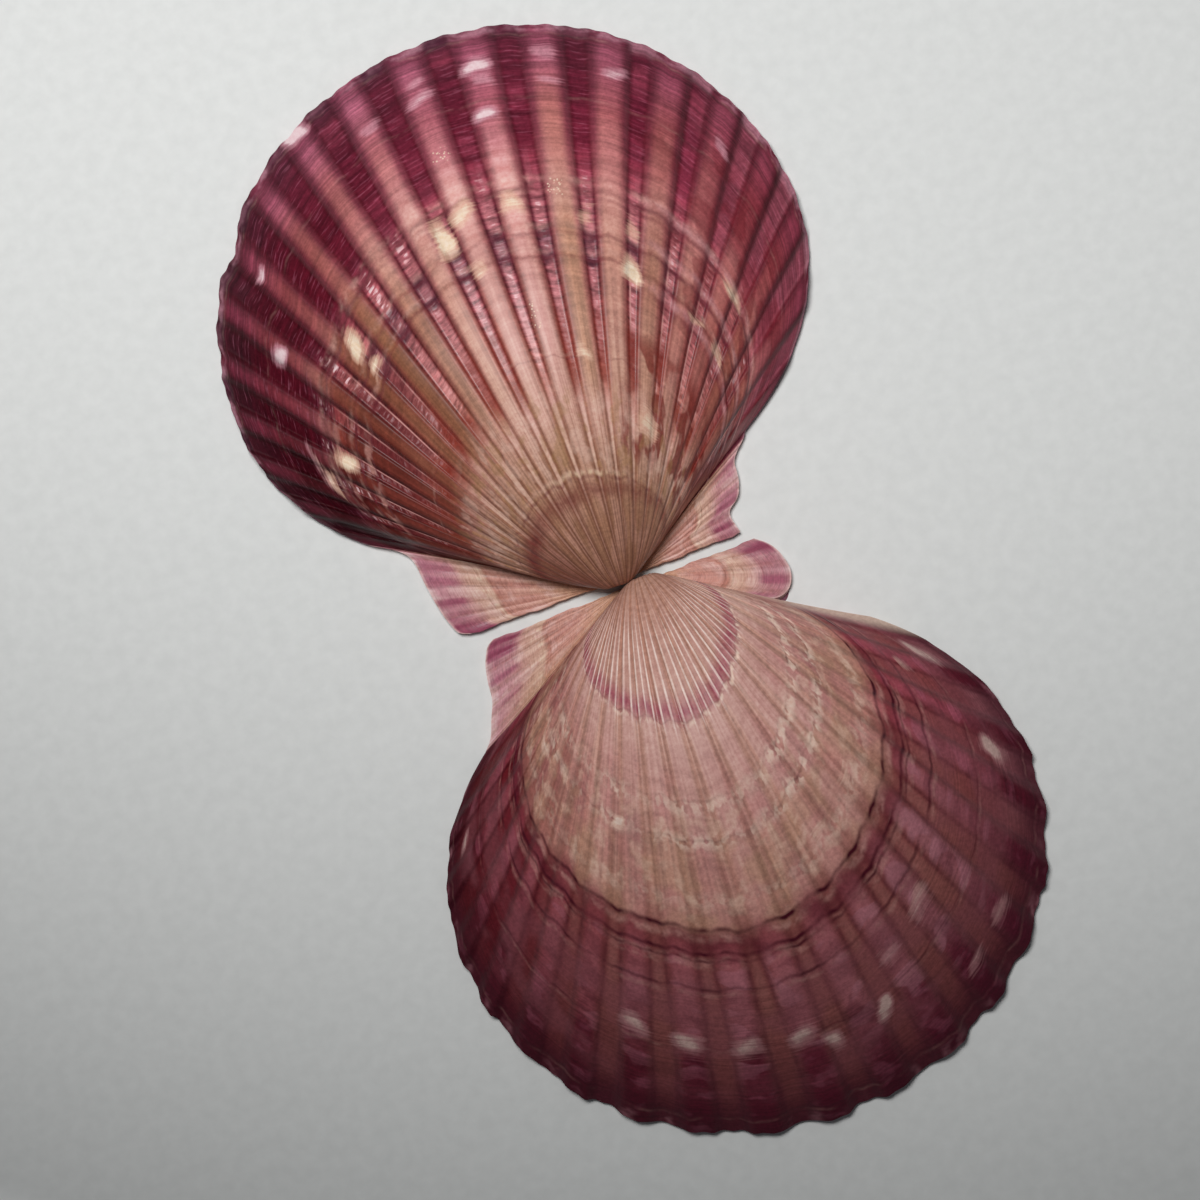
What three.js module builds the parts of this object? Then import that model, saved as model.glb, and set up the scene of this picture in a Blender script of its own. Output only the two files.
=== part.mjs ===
import * as THREE from "three";

// A scallop shell opened flat: both valves lie outside up on a table, hinge edge to hinge edge.
// Units are millimetres, +Z is up, X runs along the hinge and Y from one valve to the other.
// A valve is one closed wall. Its growth lines are smaller copies of the margin, drawn in towards
// the beak and turned up about the hinge, which is what makes the dome.

const WALL = 1.45; // thickness of the shell
const RIM = 1.0; // height of the cut edge at the margin and along the hinge
const GROWTH_TURN = 0.58; // turn about the hinge, in radians, for each e-fold of growth
const EAR_RISE = 0.35; // an ear's rise as a share of the disc's at the same stage
const CREASE_WIDTH = 5; // degrees of the disc's flank that drop into the ear's fold
const LEDGE_HEIGHT = 0.3; // step left by the longest rest in growth
const LEDGE_START = 0.3; // stage from which the shell thickens towards that step
const LEDGE_STAGES = 0.015; // stages of growth that the step takes
const YOUNG_STAGES = [0.06, 0.12, 0.2, 0.31, 0.43, 0.55]; // 1 is the full-grown margin
const OLD_STAGES = [0.79, 0.9, 1];

const BEAK_OFFSET = [2.45, -0.85]; // from the left valve's beak to the right valve's
const HINGE_SKEW = 1.2; // degrees between the two hinge edges

// In each valve's own frame the beak is at the origin, the hinge lies along X and the disc opens
// towards +Y. Pairs hold the values for the -X side and the +X side. Angles are in degrees from
// the growth axis, and an ear's outline runs from its hinge end to the fold, which it leaves out.
const LEFT_VALVE = {
  name: "left_valve",
  colour: 0x8c3a4c,
  discCentre: [-0.5, 33.7],
  halfWidth: 35.2,
  ventralReach: 33.0,
  dorsalReach: 27.8,
  discTilt: -3.9,
  creaseAngle: [61.8, 60.8],
  chips: [{ angle: -29.5, halfWidth: 3.5, depth: 1.0 }],
  restStage: 0.7,
  middleRib: -2.5,
  ribPitch: [6.8, 7.15],
  ribNarrowing: [0.0095, 0.004],
  ribWidth: 0.46, // share of the pitch
  ribSide: 0.13, // share of the pitch taken by each sloping side
  ribHeight: 1.0,
  ribLean: 0, // how far a rib stands out, as a share of how far it stands up
  ears: [
    [[-18.4, 0], [-19.6, 0.6], [-20.2, 1.9], [-20.8, 4.0], [-21.3, 6.8], [-22.0, 10.9]],
    [[15.2, 0.4], [14.9, 3.3], [16.3, 4.5], [17.1, 6.4], [17.4, 8.6]],
  ],
};

const RIGHT_VALVE = {
  name: "right_valve",
  colour: 0x7a3346,
  discCentre: [0.2, 34.1],
  halfWidth: 35.0,
  ventralReach: 31.8,
  dorsalReach: 29.0,
  discTilt: 6.6,
  creaseAngle: [60.0, 63.4],
  chips: [],
  restStage: 0.685,
  middleRib: 1.2,
  ribPitch: [6.9, 6.95],
  ribNarrowing: [0.004, 0.008],
  ribWidth: 0.56,
  ribSide: 0.12,
  ribHeight: 0.85,
  ribLean: 0.5,
  ears: [
    [[-14.0, 0.1], [-15.4, 1.3], [-16.4, 3.3], [-16.6, 5.3], [-15.8, 6.9], [-14.6, 7.5], [-12.7, 7.2]],
    [[18.6, 0.1], [19.4, 0.6], [20.1, 1.7], [20.9, 4.3], [21.2, 6.6], [22.1, 8.7], [23.1, 10.9]],
  ],
};

const radians = THREE.MathUtils.degToRad;

// The margin of the disc at an angle from the growth axis: where the ray from the beak leaves a
// tilted oval whose halves, towards the hinge and away from it, have different depths. A ray that
// just misses the oval ends where it passes closest.
function discMargin(valve, angle) {
  const ray = new THREE.Vector2(Math.sin(radians(angle)), Math.cos(radians(angle)));
  const beak = new THREE.Vector2();
  const direction = ray.clone().rotateAround(beak, radians(valve.discTilt));
  const centre = new THREE.Vector2(...valve.discCentre);
  centre.rotateAround(beak, radians(valve.discTilt));
  const crossing = (reach) => {
    const oval = new THREE.Vector2(valve.halfWidth, reach);
    const d = direction.clone().divide(oval);
    const c = centre.clone().divide(oval);
    const along = d.dot(c);
    const inside = Math.max(0, along ** 2 - d.lengthSq() * (c.lengthSq() - 1));
    return (along + Math.sqrt(inside)) / d.lengthSq();
  };
  const dorsal = crossing(valve.dorsalReach);
  let radius = dorsal * direction.y < centre.y ? dorsal : crossing(valve.ventralReach);
  for (const chip of valve.chips) {
    radius -= chip.depth * Math.max(0, 1 - Math.abs(angle - chip.angle) / chip.halfWidth);
  }
  return ray.multiplyScalar(radius);
}

// The angle of a point counted in ribs from the middle rib. The pitch narrows towards the ears.
function ribAngle(valve, ribs) {
  const side = ribs < 0 ? 0 : 1;
  return valve.middleRib + valve.ribPitch[side] * ribs - valve.ribNarrowing[side] * ribs ** 3;
}

// One column of the wall: the line of growth that reaches the margin at (x, y). rise is its share
// of the dome's height and rib is 1 on a rib and 0 in a groove.
function discColumn(valve, angle, rib) {
  const { x, y } = discMargin(valve, angle);
  const toCrease = Math.min(angle + valve.creaseAngle[0], valve.creaseAngle[1] - angle);
  const rise = EAR_RISE + (1 - EAR_RISE) * THREE.MathUtils.smoothstep(toCrease, 0, CREASE_WIDTH);
  return { x, y, rise, rib };
}

function discColumns(valve) {
  const halfRib = valve.ribWidth / 2;
  const halfGroove = 0.5 - halfRib - valve.ribSide;
  const corners = [
    [-halfRib, 1],
    [halfRib, 1],
    [0.5 - halfGroove, 0],
    [0.5 + halfGroove, 0],
  ];
  const [firstCrease, lastCrease] = valve.creaseAngle;
  const columns = [discColumn(valve, -firstCrease, 0)];
  const mostRibs = 12; // on each side of the middle rib, more than there is room for
  const clear = 1; // degrees between a crease and the nearest corner of a rib
  for (let rib = -mostRibs; rib <= mostRibs; rib++) {
    for (const [offset, height] of corners) {
      const angle = ribAngle(valve, rib + offset);
      const onDisc = angle > clear - firstCrease && angle < lastCrease - clear;
      if (onDisc) columns.push(discColumn(valve, angle, height));
    }
  }
  columns.push(discColumn(valve, lastCrease, 0));
  return columns;
}

function earColumns(outline) {
  return outline.map(([x, y]) => ({ x, y, rise: EAR_RISE, rib: 0 }));
}

// How far the outside stands up from the smooth wall: ribs that grow with the shell, and the
// step at the rest in growth.
function relief(valve, column, stage) {
  const thickening = THREE.MathUtils.smoothstep(stage, LEDGE_START, valve.restStage);
  const onLedge = stage <= valve.restStage && column.rise > EAR_RISE;
  return valve.ribHeight * stage * column.rib + (onLedge ? LEDGE_HEIGHT * thickening : 0);
}

// A point of the outside: the column's place on the margin, shrunk to a stage of growth and
// turned up about the hinge, with the relief on it.
function outsidePoint(valve, column, stage) {
  const turn = GROWTH_TURN * Math.log(1 / stage);
  const height = relief(valve, column, stage);
  const lean = (valve.ribLean * height) / Math.hypot(column.x, column.y);
  return new THREE.Vector3(
    (stage + lean) * column.x,
    (stage * Math.cos(turn) + lean) * column.y,
    RIM + stage * column.y * Math.sin(turn) * column.rise + height,
  );
}

// The inside follows the outside, drawn in towards the middle of the disc and lowered by the
// wall, and is cut flat where it would pass below the table.
function insidePoint(valve, point) {
  const shrink = 1 - WALL / valve.halfWidth;
  const [centreX, centreY] = valve.discCentre;
  return new THREE.Vector3(
    centreX + shrink * (point.x - centreX),
    centreY + shrink * (point.y - centreY),
    Math.max(0, point.z - WALL),
  );
}

// The foot of the edge under a point of the margin or the hinge. It is on the table in a groove
// and arches over it under a rib.
function footPoint(point) {
  return new THREE.Vector3(point.x, point.y, Math.max(0, point.z - RIM));
}

function valveGeometry(valve) {
  const columns = [
    ...earColumns(valve.ears[0]),
    ...discColumns(valve),
    ...earColumns(valve.ears[1].toReversed()),
  ];
  const rest = valve.restStage;
  const stages = [...YOUNG_STAGES, rest, rest + LEDGE_STAGES, ...OLD_STAGES];
  const outside = stages.map((stage) => columns.map((column) => outsidePoint(valve, column, stage)));
  const beak = new THREE.Vector3(0, 0, RIM);
  const lastRow = outside.length - 1;
  const lastColumn = columns.length - 1;

  const points = [];
  const add = (point) => points.push(point.x, point.y, point.z) / 3 - 1;
  const outer = outside.map((row) => row.map(add));
  const outerBeak = add(beak);
  const inner = outside.map((row) => row.map((point) => add(insidePoint(valve, point))));
  const innerBeak = add(insidePoint(valve, beak));

  const faces = [];
  const quad = (a, b, c, d) => faces.push(a, b, c, a, c, d);
  for (let c = 0; c < lastColumn; c++) {
    faces.push(outerBeak, outer[0][c + 1], outer[0][c]);
    faces.push(innerBeak, inner[0][c], inner[0][c + 1]);
    for (let r = 0; r < lastRow; r++) {
      quad(outer[r][c], outer[r][c + 1], outer[r + 1][c + 1], outer[r + 1][c]);
      quad(inner[r][c], inner[r + 1][c], inner[r + 1][c + 1], inner[r][c + 1]);
    }
  }

  // The edge, once round: out along one hinge edge, round the margin and back along the other.
  const round = (sheet, sheetBeak) => [
    sheetBeak,
    ...sheet.slice(0, -1).map((row) => row[0]),
    ...sheet[lastRow],
    ...sheet.slice(0, -1).map((row) => row[lastColumn]).reverse(),
  ];
  const outerRound = round(outer, outerBeak);
  const innerRound = round(inner, innerBeak);
  const pointAt = (index) => new THREE.Vector3().fromArray(points, 3 * index);
  const foot = outerRound.map((index) => add(footPoint(pointAt(index))));
  outerRound.forEach((_, i) => {
    const next = (i + 1) % outerRound.length;
    quad(outerRound[i], outerRound[next], foot[next], foot[i]);
    quad(foot[i], foot[next], innerRound[next], innerRound[i]);
  });

  const geometry = new THREE.BufferGeometry();
  geometry.setAttribute("position", new THREE.Float32BufferAttribute(points, 3));
  geometry.setIndex(faces);
  geometry.computeVertexNormals();
  return geometry;
}

function makeValve(valve) {
  const material = new THREE.MeshStandardMaterial({
    color: valve.colour,
    roughness: 0.45,
    metalness: 0,
  });
  const mesh = new THREE.Mesh(valveGeometry(valve), material);
  mesh.name = valve.name;
  return mesh;
}

const leftValve = makeValve(LEFT_VALVE);
const rightValve = makeValve(RIGHT_VALVE);
rightValve.position.set(...BEAK_OFFSET, 0);
rightValve.rotation.z = radians(180 + HINGE_SKEW);

// The origin is on the table, under the middle of the opened shell.
const shell = new THREE.Group();
shell.add(leftValve, rightValve);
const bounds = new THREE.Box3().setFromObject(shell, true);
const middle = bounds.getCenter(new THREE.Vector3());
shell.position.set(-middle.x, -middle.y, -bounds.min.z);

export default shell;
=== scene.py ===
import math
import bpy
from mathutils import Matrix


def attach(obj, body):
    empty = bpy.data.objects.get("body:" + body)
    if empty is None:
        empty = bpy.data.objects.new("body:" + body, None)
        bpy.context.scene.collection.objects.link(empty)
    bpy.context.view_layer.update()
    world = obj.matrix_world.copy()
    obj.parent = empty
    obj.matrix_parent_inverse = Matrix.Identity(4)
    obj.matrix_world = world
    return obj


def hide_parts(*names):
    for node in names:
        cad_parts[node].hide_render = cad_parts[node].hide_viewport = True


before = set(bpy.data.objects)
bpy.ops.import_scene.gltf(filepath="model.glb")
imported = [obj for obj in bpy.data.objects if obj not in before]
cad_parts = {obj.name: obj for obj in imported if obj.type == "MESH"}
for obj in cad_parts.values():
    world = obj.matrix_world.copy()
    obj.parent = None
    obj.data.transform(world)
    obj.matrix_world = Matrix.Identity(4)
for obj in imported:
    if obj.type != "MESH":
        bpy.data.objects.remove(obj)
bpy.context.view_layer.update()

# An opened scallop shell. Two ribbed valves lie outside up, hinge edge to hinge edge, on a pale
# floor. Lengths are millimetres until a mesh is written, and angles are degrees.

from types import SimpleNamespace

import bpy
import numpy as np
from mathutils import Euler, Vector

MM = 0.001

# How the shell grows, the same for both valves and the same as in the solids
WALL = 1.45
RIM = 1.0
EDGE_UNDERCUT = 0.5
BLISTER = 0.12
EAR_RIDGE = 0.15
HINGE_WEAR = 0.07
GROWTH_TURN = 0.58
YOUNGEST_TURN = 0.05
EAR_RISE = 0.35
CREASE_WIDTH = 5

# How finely the surfaces are cut
FIRST_STAGE = 0.018
STAGE_STEPS = 144
STEPS_PER_INSIDE_ROW = 6
COLUMNS_PER_RIB = 21
EAR_COLUMNS = 64
RIBS_ON_AN_EAR = 8
CORNER = 55  # an edge that bends more than this is shaded as a corner

# Depths of the marks that are only in the surface's finish, in metres
LINE_DEPTH = 0.00004
BAND_DEPTH = 0.00006
THREAD_DEPTH = 0.00003
GRAIN_DEPTH = 0.000014

# Each valve in its own frame: the beak is at the origin, the hinge lies along X and the disc opens
# towards +Y. Pairs hold the values for the -X side and the +X side. In the tables
#   a chip is its angle, half its width and its depth,
#   a rest in growth is its stage, the step it leaves and the stages over which the step builds up,
#   tan is how tan each rib is, from the first to the last,
#   a pale patch is its rib, its stage, half its width in ribs, half its length and its strength,
#   an ear is its outline from the hinge's end to the fold.
# pinch, bow and arch bend the growth lines, and rib_end is how far ribs reach past the margin.
LEFT = SimpleNamespace(
    node="left_valve",
    slot="left_shell",
    piece="left_valve_shell",
    beak=(-1.27867, 0.23827),
    turned=0.0,
    disc_centre=(-0.5, 33.7),
    half_width=35.2,
    ventral_reach=33.0,
    dorsal_reach=27.8,
    disc_tilt=-3.9,
    crease=(61.8, 60.8),
    chips=((-29.5, 3.5, 1.0),),
    middle_rib=-2.5,
    pitch=(6.8, 7.15),
    narrowing=(0.0095, 0.004),
    rib_height=1.0,
    rib_growth=1.4,
    rib_width=((0.0, 0.2, 0.4, 0.6, 0.8, 1.0), (0.78, 0.76, 0.66, 0.62, 0.58, 0.56)),
    rib_side=0.15,
    rib_end=-0.25,
    riblets=0.0,
    bow=3.4,
    pinch=(0.0, 0.2),
    arch=0.002,
    rests=(
        (0.256, 0.08, 0.1), (0.445, 0.05, 0.04), (0.6, 0.16, 0.12), (0.637, 0.12, 0.03),
        (0.7, 0.06, 0.02), (0.708, 0.2, 0.3), (0.977, 0.1, 0.05),
    ),
    seed=3,
    tan=(0.2, 0.2, 0.3, 0.4, 0.7, 0.8, 0.95, 0.7, 0.5, 0.15, 0.05, 0.9, 0.5, 0.75, 0.45, 0.4, 0.6, 0.3, 0.2),
    patches=(
        (-5.1, 0.823, 0.24, 0.02, 1.0), (-4.05, 0.923, 0.2, 0.012, 0.8), (-2.0, 0.99, 0.26, 0.02, 1.0),
        (-0.9, 0.9, 0.24, 0.014, 0.6), (0.0, 0.9, 0.24, 0.012, 0.7), (0.05, 0.93, 0.2, 0.01, 0.6),
        (0.97, 0.925, 0.24, 0.014, 1.0), (1.05, 0.897, 0.22, 0.012, 0.6), (0.95, 0.836, 0.25, 0.01, 1.0),
        (2.05, 0.893, 0.22, 0.01, 0.5), (2.05, 0.944, 0.22, 0.02, 0.5), (3.1, 0.924, 0.2, 0.014, 0.7),
        (5.1, 0.9, 0.2, 0.014, 0.6), (6.3, 0.712, 0.4, 0.012, 0.7), (-0.05, 0.69, 0.26, 0.02, 0.8),
        (0.95, 0.684, 0.26, 0.02, 0.8), (-0.6, 0.66, 0.22, 0.032, 1.1), (-0.1, 0.6, 0.24, 0.014, 0.6),
        (-3.7, 0.668, 0.26, 0.028, 1.0), (-3.7, 0.622, 0.26, 0.014, 0.8), (-6.7, 0.67, 0.3, 0.03, 1.0),
        (-7.1, 0.775, 0.4, 0.014, 0.5), (-7.7, 0.75, 0.4, 0.02, 0.6), (3.45, 0.66, 0.2, 0.02, 0.6),
        (3.45, 0.594, 0.26, 0.02, 1.1), (2.45, 0.667, 0.2, 0.02, 0.5), (5.5, 0.6, 0.4, 0.01, 0.5),
        (6.5, 0.6, 0.4, 0.012, 0.6), (1.9, 0.449, 0.26, 0.012, 0.7), (4.2, 0.362, 0.5, 0.03, 0.7),
    ),
    ears=(
        ((-18.4, 0), (-19.6, 0.6), (-20.2, 1.9), (-20.8, 4.0), (-21.3, 6.8), (-22.0, 10.9)),
        ((15.2, 0.4), (14.9, 3.3), (16.3, 4.5), (17.1, 6.4), (17.4, 8.6)),
    ),
)

RIGHT = SimpleNamespace(
    node="right_valve",
    slot="right_shell",
    piece="right_valve_shell",
    beak=(1.17133, -0.61173),
    turned=181.2,
    disc_centre=(0.2, 34.1),
    half_width=35.0,
    ventral_reach=31.8,
    dorsal_reach=29.0,
    disc_tilt=6.6,
    crease=(60.0, 63.4),
    chips=(),
    middle_rib=1.2,
    pitch=(6.9, 6.95),
    narrowing=(0.004, 0.008),
    rib_height=0.85,
    rib_growth=1.5,
    rib_width=((0.0, 0.2, 0.4, 0.6, 0.8, 1.0), (0.8, 0.8, 0.76, 0.68, 0.57, 0.53)),
    rib_side=0.24,
    rib_end=0.42,
    riblets=0.09,
    bow=0.0,
    pinch=(0.6, 0.3),
    arch=-0.003,
    rests=(
        (0.318, 0.06, 0.1), (0.44, 0.05, 0.03), (0.5, 0.05, 0.04), (0.644, 0.14, 0.05), (0.688, 0.2, 0.3),
        (0.742, 0.1, 0.03), (0.845, 0.05, 0.03), (0.97, 0.08, 0.03),
    ),
    seed=8,
    tan=(0.2, 0.3, 0.3, 0.2, 0.3, 0.5, 0.4, 0.3, 0.6, 0.3, 0.4, 0.5, 0.6, 0.4, 0.3, 0.3, 0.2, 0.2, 0.2),
    patches=(
        (0.05, 0.842, 0.3, 0.018, 0.8), (1.05, 0.84, 0.3, 0.018, 0.8), (2.05, 0.836, 0.3, 0.018, 0.8),
        (3.05, 0.826, 0.34, 0.018, 0.8), (-0.42, 0.86, 0.2, 0.02, 0.8), (-1.4, 0.86, 0.16, 0.02, 1.0),
        (-3.0, 0.785, 0.34, 0.02, 0.6), (-1.95, 0.797, 0.3, 0.016, 0.5), (-6.6, 0.89, 0.2, 0.03, 1.0),
        (-4.0, 0.925, 0.36, 0.014, 0.6), (-3.15, 0.93, 0.3, 0.012, 0.5), (8.45, 0.915, 0.2, 0.014, 0.8),
        (-8.4, 0.88, 0.22, 0.04, 0.9), (-7.8, 0.78, 0.2, 0.02, 0.6), (3.47, 0.497, 0.2, 0.012, 0.9),
        (-2.1, 0.577, 0.3, 0.012, 0.5), (-3.6, 0.577, 0.4, 0.012, 0.5), (7.35, 0.535, 0.4, 0.014, 0.7),
    ),
    ears=(
        ((-14.0, 0.1), (-15.4, 1.3), (-16.4, 3.3), (-16.6, 5.3), (-15.8, 6.9), (-14.6, 7.5), (-12.7, 7.2)),
        ((18.6, 0.1), (19.4, 0.6), (20.1, 1.7), (20.9, 4.3), (21.2, 6.6), (22.1, 8.7), (23.1, 10.9)),
    ),
)


def ease(value, low, high):
    """0 below low, 1 above high and 3t^2 - 2t^3 in between."""
    t = np.clip((value - low) / (high - low), 0, 1)
    return t * t * (3 - 2 * t)


def sides(pair, ribs):
    """The first value of a pair where the rib count is negative and the second elsewhere."""
    return np.where(ribs < 0, pair[0], pair[1])


def rib_angle(valve, ribs):
    """Angle from the growth axis: middle rib + pitch * ribs - narrowing * ribs cubed."""
    return valve.middle_rib + sides(valve.pitch, ribs) * ribs - sides(valve.narrowing, ribs) * ribs**3


def disc_margin(valve, angle):
    """Where a ray from the beak leaves a tilted oval that is deeper on one side of its centre than
    on the other: the larger root of |r * ray - centre| = 1 in the oval's own measure."""
    turn = np.radians(angle)
    tilt = np.radians(valve.disc_tilt)
    across = np.sin(turn) * np.cos(tilt) - np.cos(turn) * np.sin(tilt)
    along = np.sin(turn) * np.sin(tilt) + np.cos(turn) * np.cos(tilt)
    centre_x = valve.disc_centre[0] * np.cos(tilt) - valve.disc_centre[1] * np.sin(tilt)
    centre_y = valve.disc_centre[0] * np.sin(tilt) + valve.disc_centre[1] * np.cos(tilt)

    def crossing(reach):
        length = (across / valve.half_width) ** 2 + (along / reach) ** 2
        lean = across * centre_x / valve.half_width**2 + along * centre_y / reach**2
        beyond = (centre_x / valve.half_width) ** 2 + (centre_y / reach) ** 2 - 1
        return (lean + np.sqrt(np.maximum(0, lean**2 - length * beyond))) / length

    dorsal = crossing(valve.dorsal_reach)
    whole = np.where(dorsal * along < centre_y, dorsal, crossing(valve.ventral_reach))
    for chip_angle, half_width, depth in valve.chips:
        whole = whole - depth * np.maximum(0, 1 - np.abs(angle - chip_angle) / half_width)
    return whole * np.sin(turn), whole * np.cos(turn)


def curve_through(points, count):
    """A cubic Hermite curve through the points, with central differences as its tangents."""
    points = np.array(points, float)
    knots = np.concatenate([[0], np.cumsum(np.hypot(*np.diff(points, axis=0).T))])
    tangents = np.gradient(points, knots, axis=0)
    at = np.linspace(0, knots[-1], count)
    left = np.clip(np.searchsorted(knots, at, side="right") - 1, 0, len(knots) - 2)
    gap = knots[left + 1] - knots[left]
    t = ((at - knots[left]) / gap)[:, None]
    gap = gap[:, None]
    from_left = (1 + 2 * t) * (1 - t) ** 2 * points[left] + t * (1 - t) ** 2 * gap * tangents[left]
    from_right = t * t * (3 - 2 * t) * points[left + 1] - t * t * (1 - t) * gap * tangents[left + 1]
    return from_left + from_right


def disc_ends(valve):
    """The rib counts at the two creases, read off a fine table of rib_angle."""
    counts = np.linspace(-11.5, 11.5, 2301)
    return np.interp([-valve.crease[0], valve.crease[1]], rib_angle(valve, counts), counts)


def columns_of(valve):
    """The lines of growth from one hinge end to the other: where each meets the margin, its rib
    count, its share of the dome's height, how far it is into an ear from 0 on the disc to 1 at the
    hinge's end, and body, which is 1 on the ribbed disc and 0 at the creases and on the ears."""
    first, last = disc_ends(valve)
    ribs = np.linspace(first, last, int(COLUMNS_PER_RIB * (last - first)))
    angle = rib_angle(valve, ribs)
    x, y = disc_margin(valve, angle)
    to_crease = np.minimum(angle + valve.crease[0], valve.crease[1] - angle)
    rise = EAR_RISE + (1 - EAR_RISE) * ease(to_crease, 0, CREASE_WIDTH)
    left_ear = curve_through([*valve.ears[0], (x[0], y[0])], EAR_COLUMNS + 1)[:-1]
    right_ear = curve_through([(x[-1], y[-1]), *valve.ears[1][::-1]], EAR_COLUMNS + 1)[1:]
    steps = np.linspace(0, RIBS_ON_AN_EAR, EAR_COLUMNS + 1)[1:]
    level = np.full(EAR_COLUMNS, EAR_RISE)
    body = ease(np.minimum(ribs - first, last - ribs), 0.1, 0.7)
    return SimpleNamespace(
        x=np.concatenate([left_ear[:, 0], x, right_ear[:, 0]]),
        y=np.concatenate([left_ear[:, 1], y, right_ear[:, 1]]),
        ribs=np.concatenate([first - steps[::-1], ribs, last + steps]),
        rise=np.concatenate([level, rise, level]),
        ear=np.concatenate([steps[::-1], 0 * x, steps]) / RIBS_ON_AN_EAR,
        body=np.concatenate([0 * level, body, 0 * level]),
        first=first,
        last=last,
    )


def stages_of(valve):
    """Stages of growth for the rows: even steps, drawn closer together at each rest in growth."""
    fine = np.linspace(FIRST_STAGE, 1, 4001)
    density = np.ones_like(fine)
    for stage, _, _ in valve.rests:
        density += 2.5 * np.exp(-(((fine - stage - 0.002) / 0.008) ** 2))
    density += 1.5 * ease(fine, 0.97, 1)
    spent = np.concatenate([[0], np.cumsum((density[1:] + density[:-1]) / 2)])
    return np.interp(np.linspace(0, spent[-1], STAGE_STEPS + 1), spent, fine)


def ripple(ribs, stage, seed):
    """A slow wander without a pattern: a sum of three sines of the rib count and the stage."""
    return (
        np.sin(1.13 * ribs + 5.0 * stage + seed)
        + 0.6 * np.sin(2.31 * ribs - 9.0 * stage + 2.3 * seed)
        + 0.4 * np.sin(4.7 * ribs + 3.0 * stage + 4.1 * seed)
    )


def drawn_stage(valve, columns, stage):
    """How far out a line of growth really lies. A young valve is narrower than a full-grown one, so
    a stage is pinched by (1 - stage)^1.5 times (ribs / 6)^1.5. Every line wanders a little and
    arches over each rib."""
    ribs = np.clip(columns.ribs, columns.first, columns.last)
    away = 7 * np.tanh(np.abs(ribs) / 7)
    pinch = sides(valve.pinch, ribs) * (away / 6) ** 1.5 * (1 - stage) ** 1.5
    wander = 0.008 * ripple(ribs, 0, valve.seed) + valve.arch * np.cos(2 * np.pi * ribs) * columns.body * 4
    return stage * (1 - pinch) + wander * stage * (1 - stage)


def age_of(valve, columns, stage):
    """The stage that marks of growth follow: the stage with a jagged wander across the ribs."""
    ribs = columns.ribs
    wander = np.sin(5.1 * ribs + 9 * stage + valve.seed) + 0.7 * np.sin(11.3 * ribs - 14 * stage)
    return stage + 0.0014 * (wander + 0.4 * np.sin(23 * ribs + 31 * stage))


def from_rib_edge(valve, columns, stage):
    """Distance across the growth from the middle of a rib's side, in ribs: less than 0 on a rib.
    One rib is up to a tenth wider or narrower than the next."""
    rib = np.round(columns.ribs)
    luck = 1 + 0.1 * np.sin(5.9 * rib + valve.seed)
    return np.abs(columns.ribs - rib) - np.interp(stage, *valve.rib_width) / 2 * luck


def rib_profile(valve, columns, stage):
    """1 on a rib's crest and 0 in a groove, with eased sides and a slightly crowned top."""
    off = from_rib_edge(valve, columns, stage)
    half = np.interp(stage, *valve.rib_width) / 2
    slope = 1 - ease(off, -valve.rib_side / 2, valve.rib_side / 2)
    return slope * (1 - 0.2 * np.minimum(1, 1 + off / half) ** 2)


def riblet_wave(valve, columns, stage):
    """1 on the fine ridges that cover the cap, about five to two ribs and unevenly spaced."""
    cap = (1 - ease(stage, 0.28, 0.4)) * ease(stage, 0.07, 0.22)
    phase = 2.45 * columns.ribs + 0.18 * np.sin(2.3 * columns.ribs + valve.seed)
    return cap * np.maximum(0, np.cos(2 * np.pi * phase)) ** 1.4 * columns.body


def ear_ridge(columns):
    """1 on the low ridges that run from the beak over an ear, unevenly spaced, and 0 between."""
    phase = columns.ribs + 0.2 * np.sin(1.9 * columns.ribs)
    return (0.5 + 0.5 * np.cos(2 * np.pi * phase)) * ease(columns.ear, 0, 0.06)


def relief(valve, columns, stage):
    """How far the outside stands up from the smooth wall: ribs that grow with the shell, fine
    riblets on the cap, a step down at each rest in growth, low blisters under the pale patches, and
    low ridges on the ears."""
    profile = rib_profile(valve, columns, stage)
    height = valve.rib_height * stage**valve.rib_growth * profile * columns.body
    height += valve.riblets * riblet_wave(valve, columns, stage)
    age = age_of(valve, columns, stage)
    for rest, drop, run in valve.rests:
        built = ease(age, rest - run, rest) * (1 - ease(age, rest, rest + 0.004))
        uneven = 0.65 + 0.35 * np.sin(2.9 * columns.ribs + 40 * rest)
        share = np.maximum(ease(columns.rise, EAR_RISE, 1), 0.5 * ease(columns.ear, 0, 0.1))
        height += drop * uneven * built * share
    height += BLISTER * pale_field(valve, columns, stage)
    height += 0.035 * ripple(columns.ribs, 3 * stage, valve.seed + 1) * stage * columns.body
    return height + EAR_RIDGE * ear_ridge(columns) * stage


def rib_tan(valve, columns, stage):
    """How tan each rib is, read between the middles of two ribs."""
    middle = (len(valve.tan) - 1) // 2
    shares = np.interp(columns.ribs, np.arange(-middle, middle + 1), valve.tan)
    return np.broadcast_to(shares, np.broadcast(columns.ribs, stage).shape)


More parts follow.
